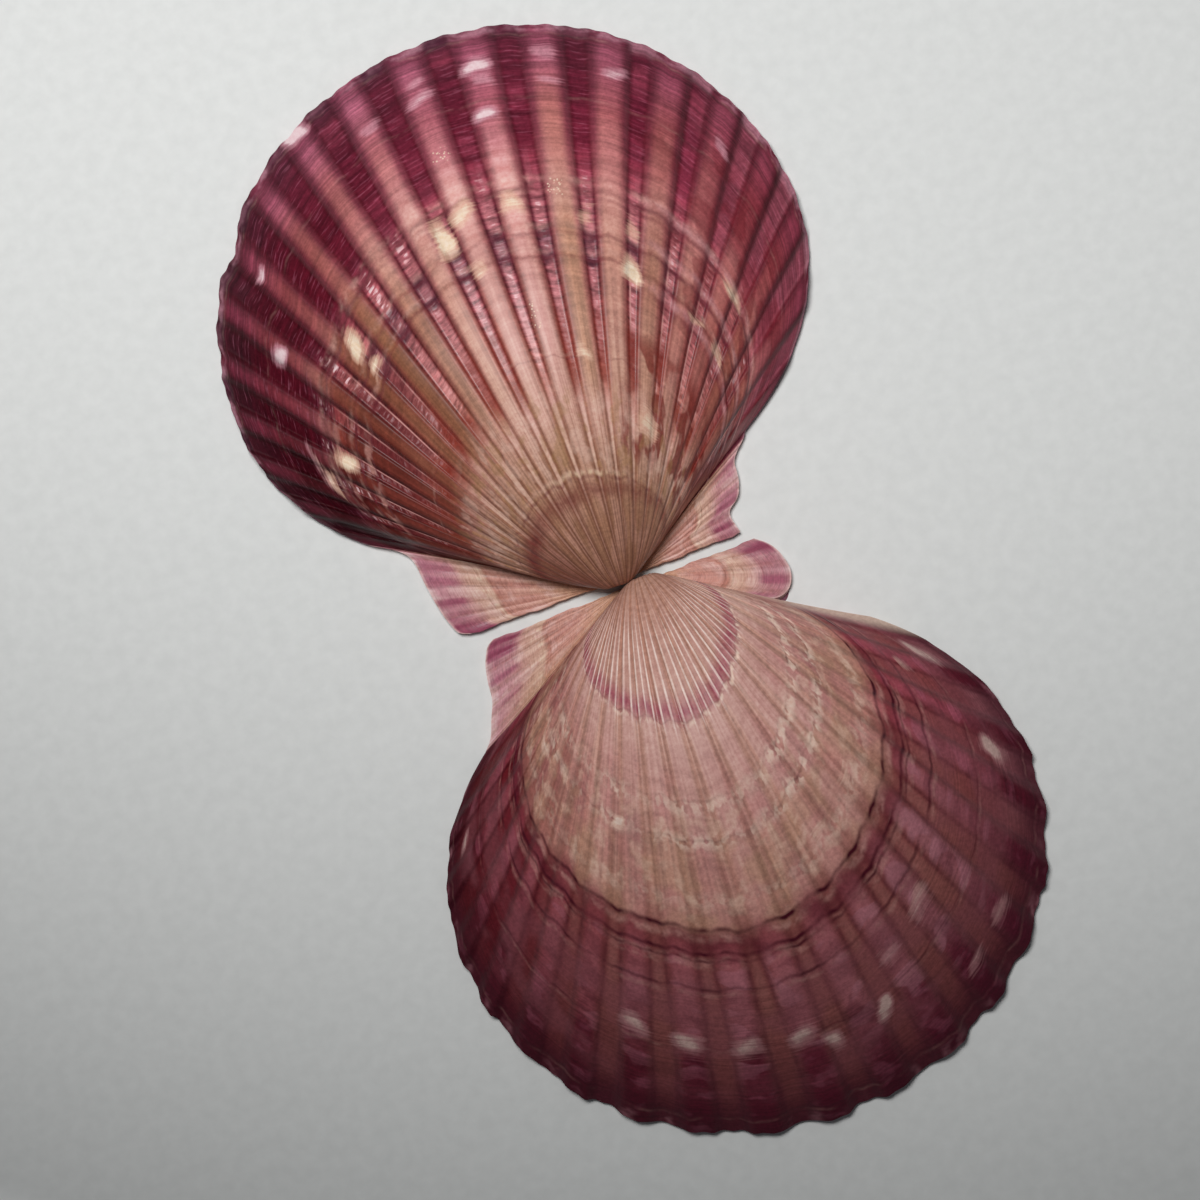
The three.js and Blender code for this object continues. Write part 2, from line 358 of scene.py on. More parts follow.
def pale_field(valve, columns, stage):
    """Where pale patches lie: 1 in the middle of one, falling off as exp(-distance squared) in its
    own widths and lengths. It ends sharply towards the beak and fades towards the margin."""
    bent_ribs = columns.ribs + 0.05 * np.sin(95 * stage + 3 * columns.ribs)
    bent_stage = stage + 0.004 * np.sin(8 * columns.ribs + valve.seed)
    field = np.zeros(bent_ribs.shape)
    for ribs, middle, half_width, half_length, strength in valve.patches:
        along = (bent_stage - middle) / half_length
        along = np.where(along < 0, 1.5 * along, 0.8 * along)
        across = np.abs((bent_ribs - ribs) / half_width)
        field = np.maximum(field, strength * np.exp(-across**3 - along**2))
    return field * columns.body


def margin_end(valve, columns, profile):
    """How far the margin reaches past its smooth line: each rib's own end, and small wear."""
    rib = np.round(columns.ribs)
    luck = 0.5 * np.sin(12.9 * rib + valve.seed) + 0.5 * np.sin(4.1 * rib + 2 * valve.seed)
    wear = 0.09 * np.sin(8.3 * columns.ribs + valve.seed) + 0.06 * np.sin(21.7 * columns.ribs)
    return (valve.rib_end * (1 + 0.4 * luck) * profile + wear) * columns.body


def outside_points(valve, columns, stage):
    """The outside: each column's place on the margin, shrunk to a stage of growth and turned up
    about the hinge by GROWTH_TURN * ln(1 / stage), with the relief on it. The lines of a half-grown
    valve lie to one side by bow * (1 - stage)^1.3 * stage. Towards the margin the ribs are drawn out
    to their own ends, and the hinge edge of the ears wanders a little with wear."""
    s = drawn_stage(valve, columns, stage)
    turn = GROWTH_TURN * np.log(1 / np.maximum(s, YOUNGEST_TURN))
    height = relief(valve, columns, stage)
    end = margin_end(valve, columns, rib_profile(valve, columns, stage)) * ease(stage, 0.86, 1)
    lean = end / np.hypot(columns.x, columns.y)
    bow = valve.bow * (1 - s) ** 1.3 * s * ease(columns.rise, EAR_RISE, 1)
    wear = 1.4 + ripple(14 * stage, 0, valve.seed)
    worn = HINGE_WEAR * wear * ease(columns.ear, 0.75, 1) * ease(stage, 0.1, 0.3)
    return np.stack([
        (s + lean) * columns.x - bow,
        (s * np.cos(turn) + lean) * columns.y + worn,
        RIM + s * columns.y * np.sin(turn) * columns.rise + height,
    ], axis=-1)


def drawn_in(valve, points, inward, down):
    """Points drawn in towards the middle of the disc and lowered, but never below the floor."""
    shrink = 1 - inward / valve.half_width
    centre = np.array(valve.disc_centre)
    moved = points.copy()
    moved[..., :2] = centre + shrink * (points[..., :2] - centre)
    moved[..., 2] = np.maximum(0, points[..., 2] - down)
    return moved


def sheet_faces(index, flipped):
    """Quads over a grid of vertex numbers."""
    corners = [index[:-1, :-1], index[:-1, 1:], index[1:, 1:], index[1:, :-1]]
    if flipped:
        corners = corners[::-1]
    return np.stack([c.ravel() for c in corners], axis=1)


def fan_faces(tip, ring, flipped):
    """Triangles from one vertex to a row of them."""
    low, high = (ring[:-1], ring[1:]) if flipped else (ring[1:], ring[:-1])
    return np.stack([np.full(len(low), tip), low, high], axis=1)


def strip_faces(fine, coarse, every):
    """Triangles between two edges, where one has every times as many steps as the other. Each
    coarse vertex takes the fine steps nearest to it."""
    steps = np.arange(len(fine) - 1)
    nearest = (steps + every - every // 2) // every
    small = np.stack([fine[steps], fine[steps + 1], coarse[nearest]], axis=1)
    large = np.arange(len(coarse) - 1)
    between = fine[large * every + every // 2]
    return np.concatenate([small, np.stack([between, coarse[large + 1], coarse[large]], axis=1)])


def round_rim(beak, sheet):
    """A value for the beak, then a sheet's values out along one hinge edge, round the margin and
    back along the other."""
    return np.concatenate([[beak], sheet[:, 0], sheet[-1, 1:-1], sheet[::-1, -1]])


def wall_faces(rows, across):
    """The wall's faces in four groups: quads of the outside with the edge, quads of the inside with
    the strip under the edge, and triangles of the one and of the other. Vertices are numbered in
    the order of wall_points."""
    outer = np.arange(rows * across).reshape(rows, across)
    inner_rows = len(range(0, rows, STEPS_PER_INSIDE_ROW))
    inner = outer.size + np.arange(inner_rows * across).reshape(inner_rows, across)
    beak = outer.size + inner.size
    inner_beak = beak + 1
    rim = round_rim(beak, outer)
    foot = inner_beak + 1 + np.arange(len(rim))

    edge = np.stack([rim, np.roll(rim, -1), np.roll(foot, -1), foot], axis=1)
    up = foot[1:rows + 1]
    round_margin = foot[rows:rows + across]
    down = foot[rows + across - 1:]
    under = np.concatenate([
        strip_faces(up, inner[:, 0], STEPS_PER_INSIDE_ROW),
        strip_faces(down, inner[::-1, -1], STEPS_PER_INSIDE_ROW),
    ])
    under_margin = np.stack([
        round_margin[:-1], round_margin[1:], inner[-1, 1:], inner[-1, :-1],
    ], axis=1)
    under_beak = np.array([
        [foot[0], foot[1], inner[0, 0], inner_beak],
        [foot[-1], foot[0], inner_beak, inner[0, -1]],
    ])
    return (
        np.concatenate([sheet_faces(outer, False), edge]),
        np.concatenate([sheet_faces(inner, True), under_margin, under_beak]),
        fan_faces(beak, outer[0], False),
        np.concatenate([fan_faces(inner_beak, inner[0], True), under]),
    )


def wall_points(valve, columns, stage):
    """The outside sheet, the inside sheet with fewer rows, the outer and the inner beak, and the
    foot of the edge, turned and moved to the valve's place. The foot is drawn in a little, so that
    the margin is a thin lip, and arches over the floor at each rib."""
    outer = outside_points(valve, columns, stage)
    inner = drawn_in(valve, outer[::STEPS_PER_INSIDE_ROW], WALL, WALL)
    beak = np.array([0, 0, RIM])
    beaks = [beak, drawn_in(valve, beak, WALL, WALL)]
    foot = drawn_in(valve, round_rim(beak, outer), EDGE_UNDERCUT, RIM)
    points = np.concatenate([outer.reshape(-1, 3), inner.reshape(-1, 3), beaks, foot])
    turn = math.radians(valve.turned)
    x = points[:, 0] * math.cos(turn) - points[:, 1] * math.sin(turn) + valve.beak[0]
    y = points[:, 0] * math.sin(turn) + points[:, 1] * math.cos(turn) + valve.beak[1]
    return np.stack([x, y, points[:, 2]], axis=1) * MM


def add_fields(mesh, valve, columns, stage):
    """Writes the values that the markings follow to the wall's vertices. Every other part of the
    wall takes the values of the outside sheet above it."""
    sheet = (len(stage), len(columns.ribs))
    fields = {
        "ribs": np.broadcast_to(columns.ribs, sheet),
        "stage": np.broadcast_to(stage, sheet),
        "age": age_of(valve, columns, stage),
        "ear": np.broadcast_to(columns.ear, sheet),
        "edge": from_rib_edge(valve, columns, stage),
        "riblet": np.maximum(riblet_wave(valve, columns, stage), ear_ridge(columns)),
        "tan": rib_tan(valve, columns, stage),
        "pale": pale_field(valve, columns, stage),
    }
    for name, values in fields.items():
        tip = values[0].mean()
        inner = values[::STEPS_PER_INSIDE_ROW]
        whole = np.concatenate([values.ravel(), inner.ravel(), [tip, tip], round_rim(tip, values)])
        attribute = mesh.attributes.new(name, "FLOAT", "POINT")
        attribute.data.foreach_set("value", whole.astype(np.float32))


def valve_mesh(valve):
    """One closed wall: the outside, the inside, and the edge between them round the margin and the
    hinge. The outside has the piece's first material and the inside its second."""
    columns = columns_of(valve)
    stage = stages_of(valve)[:, None]
    groups = wall_faces(len(stage), len(columns.ribs))
    faces = [face for group in groups for face in group.tolist()]
    is_inside = np.repeat([0, 1, 0, 1], [len(group) for group in groups])
    mesh = bpy.data.meshes.new(valve.piece)
    mesh.from_pydata(wall_points(valve, columns, stage), [], faces)
    mesh.polygons.foreach_set("material_index", is_inside.astype(np.int32))
    mesh.polygons.foreach_set("use_smooth", np.ones(len(mesh.polygons), bool))
    add_fields(mesh, valve, columns, stage)
    mesh.validate()
    mesh.set_sharp_from_angle(angle=math.radians(CORNER))
    return mesh


class Wire:
    """A socket in a material's node tree. Arithmetic on it adds Math nodes."""

    def __init__(self, tree, socket=None):
        self.tree = tree
        self.socket = socket

    def add(self, kind, settings, sockets, output=0):
        """A new node: first its settings, then its sockets' values or links. Gives one output."""
        node = self.tree.nodes.new(kind)
        for name, value in settings.items():
            if name == "stops":
                set_stops(node.color_ramp, value)
            else:
                setattr(node, name, value)
        for name, value in sockets.items():
            if isinstance(value, Wire):
                self.tree.links.new(value.socket, node.inputs[name])
            else:
                node.inputs[name].default_value = value
        return Wire(self.tree, node.outputs[output])

    def math(self, operation, *values):
        return self.add("ShaderNodeMath", {"operation": operation}, dict(enumerate(values)))

    def __add__(self, other):
        return self.math("ADD", self, other)

    def __sub__(self, other):
        return self.math("SUBTRACT", self, other)

    def __rsub__(self, other):
        return self.math("SUBTRACT", other, self)

    def __mul__(self, other):
        return self.math("MULTIPLY", self, other)

    def __abs__(self):
        return self.math("ABSOLUTE", self)

    __radd__ = __add__
    __rmul__ = __mul__

    def floor(self):
        return self.math("FLOOR", self)

    def least(self, other):
        return self.math("MINIMUM", self, other)

    def most(self, other):
        return self.math("MAXIMUM", self, other)

    def ease(self, low, high):
        """0 below low and 1 above high, or the other way round where low is the larger."""
        settings = {"interpolation_type": "SMOOTHSTEP"}
        sockets = {"Value": self, "From Min": low, "From Max": high}
        if low > high:
            sockets.update({"From Min": high, "From Max": low, "To Min": 1.0, "To Max": 0.0})
        return self.add("ShaderNodeMapRange", settings, sockets)

    def near(self, middle, reach):
        """1 at a value, falling to 0 at a distance from it."""
        return abs(self - middle).ease(reach, 0.0)

    def within(self, start, full, fading, end):
        """1 from full to fading, and 0 below start and above end."""
        return self.ease(start, full) * self.ease(end, fading)

    def vector(self, x, y, z):
        return self.add("ShaderNodeCombineXYZ", {}, {"X": x, "Y": y, "Z": z})

    def noise(self, vector, scale, detail=1.0, roughness=0.5):
        sockets = {"Vector": vector, "Scale": scale, "Detail": detail, "Roughness": roughness}
        return self.add("ShaderNodeTexNoise", {"noise_dimensions": "3D"}, sockets)

    def ramp(self, stops):
        """A colour ramp. A stop is a place and a colour from 0 to 255, as it looks."""
        linear = [(place, tint(*colour)) for place, *colour in stops]
        return self.add("ShaderNodeValToRGB", {"stops": linear}, {"Fac": self})

    def over(self, base, colour, kind="MIX"):
        """This mask lays a colour over a base colour. Each is a wire, or a tuple from 0 to 255."""
        base, colour = (part if isinstance(part, Wire) else tint(*part) for part in (base, colour))
        settings = {"data_type": "RGBA", "blend_type": kind}
        return self.add("ShaderNodeMix", settings, {0: self, 6: base, 7: colour}, output=2)


def set_stops(ramp, stops):
    """Gives a colour ramp its positions and colours."""
    while len(ramp.elements) > 1:
        ramp.elements.remove(ramp.elements[-1])
    ramp.elements[0].position = stops[0][0]
    ramp.elements[0].color = stops[0][1]
    for position, colour in stops[1:]:
        ramp.elements.new(position).color = colour


def tint(red, green, blue):
    """A colour given as it looks, from 0 to 255 each, as the renderer's linear colour."""
    seen = np.array([red, green, blue]) / 255
    linear = np.where(seen <= 0.04045, seen / 12.92, ((seen + 0.055) / 1.055) ** 2.4)
    return (*linear.tolist(), 1.0)


def new_material(name):
    """A material with only a Principled shader, and a Wire to build on."""
    material = bpy.data.materials.new(name)
    material.use_nodes = True
    tree = material.node_tree
    return material, tree.nodes["Principled BSDF"], Wire(tree)


def plug(wire, shader, name):
    wire.tree.links.new(wire.socket, shader.inputs[name])


def add_bump(height, shader):
    """A height in metres that only bends the light."""
    sockets = {"Height": height, "Strength": 0.5, "Distance": 1.0}
    plug(height.add("ShaderNodeBump", {}, sockets), shader, "Normal")


def growth_fields(wire, valve):
    """The values that a valve's markings follow. cloud, jag, worn and mottle are noise that breaks
    up the edges of marks, line, ticks and band are growth lines, and thread runs along the ribs.
    drift is the rib count with a slow wander. edge is less than 0 on a rib, and outward is more
    than 0 on the half of a rib that faces away from the middle of the valve."""
    def attribute(name):
        return wire.add("ShaderNodeAttribute", {"attribute_name": name}, {}, output=2)

    ribs = attribute("ribs")
    stage = attribute("stage")
    place = wire.add("ShaderNodeTexCoord", {}, {}, output=3)
    seed = float(valve.seed)
    first, _ = disc_ends(valve)

    def noise(across, along, offset, detail=1.0, roughness=0.5):
        """Noise that changes so many times from rib to rib and so many times along the growth."""
        return wire.noise(wire.vector(ribs * across, stage * along, seed + offset), 1.0, detail, roughness)

    rib = (ribs + 0.5).floor()
    cloud = noise(0.45, 8.0, 0.0, 2.0) - 0.5
    jag = noise(1.6, 10.0, 9.0, 2.0) - 0.5
    edge = attribute("edge") + jag * 0.05
    return SimpleNamespace(
        ribs=ribs,
        stage=stage,
        place=place,
        noise=noise,
        outward=(ribs - rib) * ribs,
        ear=attribute("ear"),
        pale=attribute("pale"),
        tan=attribute("tan"),
        riblet=attribute("riblet"),
        edge=edge,
        in_groove=edge.ease(0.0, 0.08),
        jagged=attribute("age") + jag * 0.004,
        rib_block=wire.noise(wire.vector(rib * 5.3, stage * 9.0, seed), 1.0) - 0.5,
        groove_block=wire.noise(wire.vector(ribs.floor() * 7.1, stage * 11.0, seed), 1.0) - 0.5,
        from_first=ribs - float(first),
        cloud=cloud,
        drift=ribs + cloud * 2.5,
        jag=jag,
        line=noise(0.9, 270.0, 5.0),
        ticks=noise(2.6, 230.0, 33.0),
        band=noise(0.6, 70.0, 6.0),
        thread=noise(8.0, 3.0, 0.0),
        grain=wire.noise(place, 2300.0, 2.0, 0.65),
        worn=noise(1.3, 3.0, 4.0, 2.0).ease(0.35, 0.6),
        mottle=noise(3.0, 45.0, 2.0, 2.0, 0.6).ease(0.35, 0.65),
    )


def textured(colour, value, amount, mask=1.0):
    """Darkens a colour where a value from 0 to 1 is low and lightens it where the value is high."""
    low = 0.5 - amount
    high = 0.5 + amount
    stops = [(0.32, (low, low, low, 1.0)), (0.68, (high, high, high, 1.0))]
    tone = value.add("ShaderNodeValToRGB", {"stops": stops}, {"Fac": value})
    settings = {"data_type": "RGBA", "blend_type": "OVERLAY"}
    return value.add("ShaderNodeMix", settings, {0: mask, 6: colour, 7: tone}, output=2)


def painted(colour, layers):
    """Lays colours over a base colour one after another. A layer is its mask and its colour."""
    for mask, layer in layers:
        colour = mask.over(colour, layer)
    return colour


def across_shell(f, colour, age, stops):
    """Multiplies a colour by a tint that changes from the first rib to the last. A stop is a rib
    and the tint's red, green and blue there, as they look from 0 to 1."""
    tints = [(0.5 + 0.05 * rib, *(255 * share for share in shares)) for rib, *shares in stops]
    return age.over(colour, (f.drift * 0.05 + 0.5).ramp(tints), "MULTIPLY")


def rest_lines(f, rests, dark, lip):
    """Layers of dark, broken lines at the rests in growth, fainter on the ribs, each with a pale
    lip. A rest is its stage, its reach and its strength."""
    depth = f.edge.ease(-0.1, 0.05) * 0.35 + 0.65
    layers = []
    for place, reach, strength in rests:
        line = f.jagged.near(place, reach) * (f.worn * 0.7 + 0.3) * depth
        edge = f.jagged.near(place + 2.0 * reach, 1.6 * reach) * f.mottle * f.worn
        layers += [(line * strength, dark), (edge * strength * 0.4, lip)]
    return layers


def left_ridge(f, young, middle, late):
    """The left valve's ribs: tan and pink in the middle of the valve, maroon towards its sides."""
    crest = (f.stage + f.cloud * 0.04 + f.rib_block * 0.08).ramp([
        (0.0, 166, 120, 96), (0.2, 162, 116, 92), (0.27, 174, 130, 106), (0.36, 214, 166, 150),
        (0.48, 222, 172, 164), (0.6, 204, 144, 138), (0.7, 232, 170, 166), (0.78, 208, 136, 143),
        (0.86, 170, 90, 106), (0.95, 172, 94, 116), (1.0, 124, 54, 76),
    ])
    tan = f.stage.ease(0.62, 0.78).over((174, 126, 94), (184, 120, 106))
    crest = (f.tan * f.stage.within(0.34, 0.44, 0.8, 0.96) * 0.85).over(crest, tan)
    glow = f.ribs.near(0.2, 3.2) * f.stage.near(0.72, 0.08) * (f.rib_block + 0.5)
    crest = (glow * 0.6).over(crest, (244, 200, 188))
    # The pale crest and the darker sides are partly the rib's own colours, partly painted highlight and
    # shade on its rounded form
    flank = (f.stage + f.cloud * 0.04).ramp([
        (0.0, 138, 96, 76), (0.3, 154, 106, 84), (0.38, 188, 136, 122), (0.5, 172, 108, 100),
        (0.6, 150, 88, 86), (0.7, 172, 104, 106), (0.8, 134, 62, 76), (1.0, 104, 42, 62),
    ])
    ridge = f.edge.ease(-0.22, -0.03).over(crest, flank)
    ridge = (f.drift.ease(4.0, 7.0) * f.stage.ease(0.38, 0.3) * 0.4).over(ridge, (206, 160, 138))
    pink = f.noise(1.1, 10.0, 63.0).ease(0.45, 0.6) * young
    ridge = (pink * 0.45).over(ridge, (208, 156, 140))
    ridge = across_shell(f, ridge, young, [
        (-9, 0.76, 0.62, 0.6), (-6, 0.92, 0.84, 0.84), (-4, 0.96, 0.9, 0.92), (-2, 1, 1, 1),
    ])
    ridge = across_shell(f, ridge, middle, [
        (-9, 0.52, 0.32, 0.29), (-6, 0.6, 0.38, 0.35), (-3.2, 0.78, 0.68, 0.62), (-1, 1, 1, 1),
        (2, 1, 1, 1), (3.8, 0.99, 0.97, 0.97), (6, 0.82, 0.64, 0.66), (9, 0.8, 0.66, 0.62),
    ])
    ridge = across_shell(f, ridge, late, [
        (-9, 0.5, 0.33, 0.38), (-6, 0.64, 0.43, 0.5), (-3.5, 0.8, 0.66, 0.69), (-1, 1, 1, 1),
        (2, 0.98, 0.95, 0.95), (3.8, 0.92, 0.85, 0.86), (6, 0.76, 0.56, 0.6), (9, 0.86, 0.72, 0.74),
    ])
    outer_left = f.ribs.ease(-6.2, -7.6) * f.stage.within(0.62, 0.68, 0.84, 0.9)
    ridge = outer_left.over(ridge, (180, 134, 144), "MULTIPLY")
    ridge = textured(ridge, f.line, 0.12, f.stage.ease(0.7, 0.95) * 0.8 + 0.2)
    ridge = textured(ridge, f.band, 0.1, f.stage.ease(0.35, 0.7))
    return textured(ridge, f.thread, 0.1, f.stage.ease(0.8, 0.45))


def left_groove(f, young, middle, late):
    """The left valve's grooves: glossy pink floors within the rest with painted highlights, deep maroon
    beyond it, and darker sides that are partly painted shade.
    """
    # The groove's sides are darker than its floor: partly the shell's own maroon, partly painted shade under
    # the rib walls
    side = (f.stage + f.cloud * 0.06).ramp([
        (0.0, 118, 80, 60), (0.3, 146, 98, 78), (0.38, 180, 124, 110), (0.43, 142, 70, 60),
        (0.56, 118, 44, 50), (0.62, 96, 32, 48), (0.72, 112, 34, 52), (0.95, 98, 30, 50),
        (1.0, 86, 38, 58),
    ])
    turned = (f.ribs * 0.006 + f.ribs.least(0.0) * 0.005) * f.stage.ease(0.66, 0.72)
    floor = (f.stage + f.cloud * 0.04 + f.groove_block * 0.05 - turned).ramp([
        (0.0, 172, 126, 106), (0.22, 188, 142, 124), (0.31, 222, 180, 160), (0.37, 232, 186, 174),
        (0.42, 200, 124, 112), (0.48, 222, 154, 156), (0.57, 190, 116, 124), (0.66, 192, 118, 126),
        (0.72, 184, 100, 114), (0.772, 126, 50, 70), (0.96, 106, 40, 62), (1.0, 100, 50, 70),
    ])
    block = (f.groove_block + f.cloud * 0.4).ease(0.0, 0.14) * late * f.stage.ease(0.98, 0.95)
    floor = (block * f.ribs.ease(-4.0, 0.0) * 0.6).over(floor, (164, 84, 104))
    dip = f.edge.ease(0.01, 0.11).over(side, floor)
    dip = across_shell(f, dip, young, [
        (-9, 0.76, 0.62, 0.6), (-6, 0.84, 0.7, 0.7), (-3, 0.95, 0.92, 0.92), (4, 1, 1, 1),
        (7, 1, 0.97, 0.95),
    ])
    dip = across_shell(f, dip, middle, [
        (-9, 0.63, 0.49, 0.46), (-6, 0.7, 0.56, 0.51), (-3.5, 0.88, 0.82, 0.78), (0, 0.92, 0.9, 0.9),
        (3.5, 0.98, 0.97, 0.96), (6, 0.94, 0.88, 0.84), (9, 0.84, 0.7, 0.64),
    ])
    dip = across_shell(f, dip, late, [
        (-9, 0.54, 0.29, 0.35), (-6, 0.64, 0.36, 0.44), (-3.5, 0.76, 0.48, 0.56), (-1, 0.86, 0.68, 0.74),
        (4.5, 0.9, 0.72, 0.78), (6, 1.0, 0.88, 0.9),
    ])
    dip = (f.drift.ease(4.2, 5.8) * late * 0.35).over(dip, (170, 98, 110))
    bright_end = f.drift.ease(1.5, 4.0) * f.stage.ease(0.97, 0.99)
    dip = (bright_end * 0.5).over(dip, (190, 130, 146))
    dip = (f.ticks.ease(0.56, 0.7) * late * f.drift.ease(-7.0, -3.0) * 0.2).over(dip, (164, 98, 120))
    dip = textured(dip, f.ticks, 0.09, late)
    wrinkle = f.noise(2.2, 120.0, 35.0, 2.0, 0.6)
    glossy = f.stage.within(0.4, 0.46, 0.7, 0.76)
    dip = textured(dip, wrinkle, 0.26, glossy)
    # painted highlight: bright pink streaks on the glossy floors stand in for the lamp's reflection
    painted_shine = wrinkle.ease(0.5, 0.66) * f.edge.ease(0.1, 0.16) * glossy
    painted_shine = painted_shine * f.noise(1.0, 12.0, 57.0).ease(0.4, 0.6)
    dip = (painted_shine * 0.8).over(dip, (248, 210, 214))
    return textured(dip, f.band, 0.14, f.stage.ease(0.5, 0.75))


def left_blotches(f):
    """Layers of rust-red blotches, painted highlights along the ribs, and the dark ring round the cap."""
    flanks = abs(f.drift).ease(2.4, 4.4)
    deep = flanks * f.stage.within(0.43, 0.49, 0.6, 0.68) * f.in_groove
    deep = deep * f.drift.ease(1.0, -1.0) * (f.drift.ease(-8.0, -6.0) * 0.5 + 0.5)
    # painted highlight: a thin pale line on each rib's outer side stands in for light caught by the rib's
    # wall
    painted_glint = f.edge.near(0.085, 0.04) * f.outward.ease(0.2, 0.5) * f.stage.ease(0.38, 0.45)
    painted_glint = painted_glint * f.stage.ease(0.72, 0.58) * (f.noise(0.5, 9.0, 61.0).ease(0.35, 0.55) * 0.7 + 0.2)
    blotch = f.noise(1.1, 9.0, 23.0).ease(0.42, 0.54) * f.edge.ease(-0.1, 0.02) * (flanks * 0.3 + 0.7)
    rust = blotch * f.stage.ease(0.37, 0.42) * (f.stage - f.drift * 0.002).ease(0.55, 0.48)
    rust = rust * (f.drift.ease(-7.0, -4.0) * 0.5 + 0.5)
    spots = (f.noise(1.4, 15.0, 65.0) + f.jag * 0.3).ease(0.48, 0.56) * f.drift.ease(2.5, 3.8)
    near_cap = f.stage.near(0.4, 0.15).ease(0.0, 0.5)
    far_out = f.stage.within(0.54, 0.6, 0.84, 0.92) * f.drift.ease(3.2, 5.0)
    patchy = f.noise(1.6, 18.0, 45.0, 2.0, 0.6)
    young = f.stage.within(0.24, 0.28, 0.36, 0.44)
    crumbs = f.jagged.near(0.27, 0.007) * f.noise(3.0, 30.0, 47.0).ease(0.4, 0.55) * f.ribs.near(0.8, 3.2)
    ring = (f.stage + f.cloud * 0.03 - f.ribs * 0.002).near(0.24, 0.028)
    ring = ring * (f.mottle * 0.3 + 0.3 + f.drift.ease(-2.0, -5.0) * 0.3)
    return [
        (deep * 0.7, (98, 30, 38)),
        (painted_glint * flanks, (228, 168, 162)),
        (rust * 0.9, (134, 48, 38)),
        (spots * near_cap * 0.8, (122, 40, 34)),
        (spots * far_out * 0.5, (114, 30, 40)),
        (patchy.ease(0.53, 0.62) * young * 0.45, (166, 124, 84)),
        (patchy.ease(0.47, 0.38) * young * 0.3, (230, 192, 176)),
        (crumbs * 0.7, (228, 196, 166)),
        (ring, (118, 52, 50)),
    ]


def left_bars(f):
    """Layers of dark bars across the middle grooves, on either side of a crinkled mauve strip."""
    bar = f.in_groove * f.ribs.within(-4.4, -3.0, 3.6, 5.0)
    between = bar * f.jagged.near(0.62, 0.026).ease(0.0, 0.4)
    crinkle = between * f.noise(1.6, 210.0, 81.0).ease(0.58, 0.7)
    ends = [f.jagged.near(place, 0.016).ease(0.0, 0.8) for place in (0.6, 0.639)]
    return [
        (between * (f.groove_block + 0.7) * 0.6, (112, 60, 76)),
        *[(bar * end * (f.mottle * 0.3 + 0.55), (70, 28, 44)) for end in ends],
        (crinkle * 0.5, (178, 122, 138)),
    ]


def left_sides(f):
    """Layers of pale streaks and folds on the valve's two sides, and of marks at the margin."""
    streak = f.ribs.ease(-3.5, -5.5) * f.noise(0.7, 6.0, 51.0).ease(0.42, 0.6)
    streak = streak * f.noise(2.5, 50.0, 53.0).ease(0.45, 0.6)
    layers = [(streak * f.jagged.near(place, 0.026) * 0.55, (196, 142, 132)) for place in (0.61, 0.69)]
    fold = f.ribs.ease(3.0, 4.6) * (f.mottle * 0.6 + 0.3)
    for place in (0.588, 0.655, 0.722):
        layers += [
            (fold * f.jagged.near(place, 0.014) * 0.6, (204, 146, 150)),
            (fold * f.jagged.near(place - 0.014, 0.008) * 0.5, (108, 42, 58)),
        ]
    tick = f.ticks.ease(0.6, 0.72) * f.drift.ease(-3.5, -6.0) * f.stage.ease(0.62, 0.75)
    groove_end = f.stage.ease(0.97, 0.985) * f.in_groove * f.worn * f.drift.ease(3.0, 1.0)
    lip = f.stage.ease(0.982, 0.994) * (1.0 - f.in_groove * 0.6) * f.mottle
    return layers + [
        (tick * 0.25, (176, 106, 128)),
        (groove_end * 0.45, (62, 30, 48)),
        (lip * 0.55, (202, 146, 162)),
    ]


def left_outside():
    """Rounded tan and pink ribs between deep maroon grooves with glossy pink floors."""
    material, shader, wire = new_material("left_valve_outside")
    f = growth_fields(wire, LEFT)
    young = f.stage.ease(0.3, 0.2)
    turning = f.stage + f.rib_block * 0.1
    middle = (f.stage - f.ribs.most(0.0) * 0.008).ease(0.28, 0.42) * turning.ease(0.78, 0.69)
    late = turning.ease(0.69, 0.78)
    ridge = left_ridge(f, young, middle, late)
    dip = left_groove(f, young, middle, late)
    colour = (f.edge - late * 0.03).ease(-0.07, 0.04).over(ridge, dip)
    rests = (
        (0.262, 0.005, 0.5), (0.447, 0.003, 0.4), (0.601, 0.006, 0.65), (0.638, 0.006, 0.65),
        (0.697, 0.006, 0.5), (0.71, 0.008, 0.85), (0.86, 0.003, 0.25), (0.976, 0.003, 0.4),
    )
    grains = ((0.0, 0.795, 0.28, 0.02), (1.9, 0.71, 0.3, 0.025), (0.79, 0.51, 0.18, 0.035))
    colour = painted(colour, [
        (f.thread.ease(0.5, 0.35) * f.stage.ease(0.5, 0.36) * 0.4, (140, 92, 70)),
        *left_blotches(f),
        *left_bars(f),
        *rest_lines(f, rests, (108, 44, 54), (236, 190, 176)),
        *left_sides(f),
        *pale_patches(f, ((228, 184, 160), (240, 220, 194)), ((206, 146, 160), (240, 214, 218))),
        *sand(f, grains),
    ])
    finish_shell(shader, f, ear_colours(f, colour))
    return material


def pale_patches(f, young, old):
    """Layers of pale blisters, broken by the growth lines: a soft halo round a bright core, in one
    pair of tints on the young shell and in another near the margin."""
    broken = f.pale + f.jag * 0.3 + (f.line - 0.5) * 0.5 + (f.band - 0.5) * 0.4
    age = f.stage.ease(0.74, 0.8)
    halo, core = (age.over(*tints) for tints in zip(young, old))
    return [(broken.ease(0.16, 0.52) * 0.62, halo), (broken.ease(0.5, 0.86) * 0.85, core)]


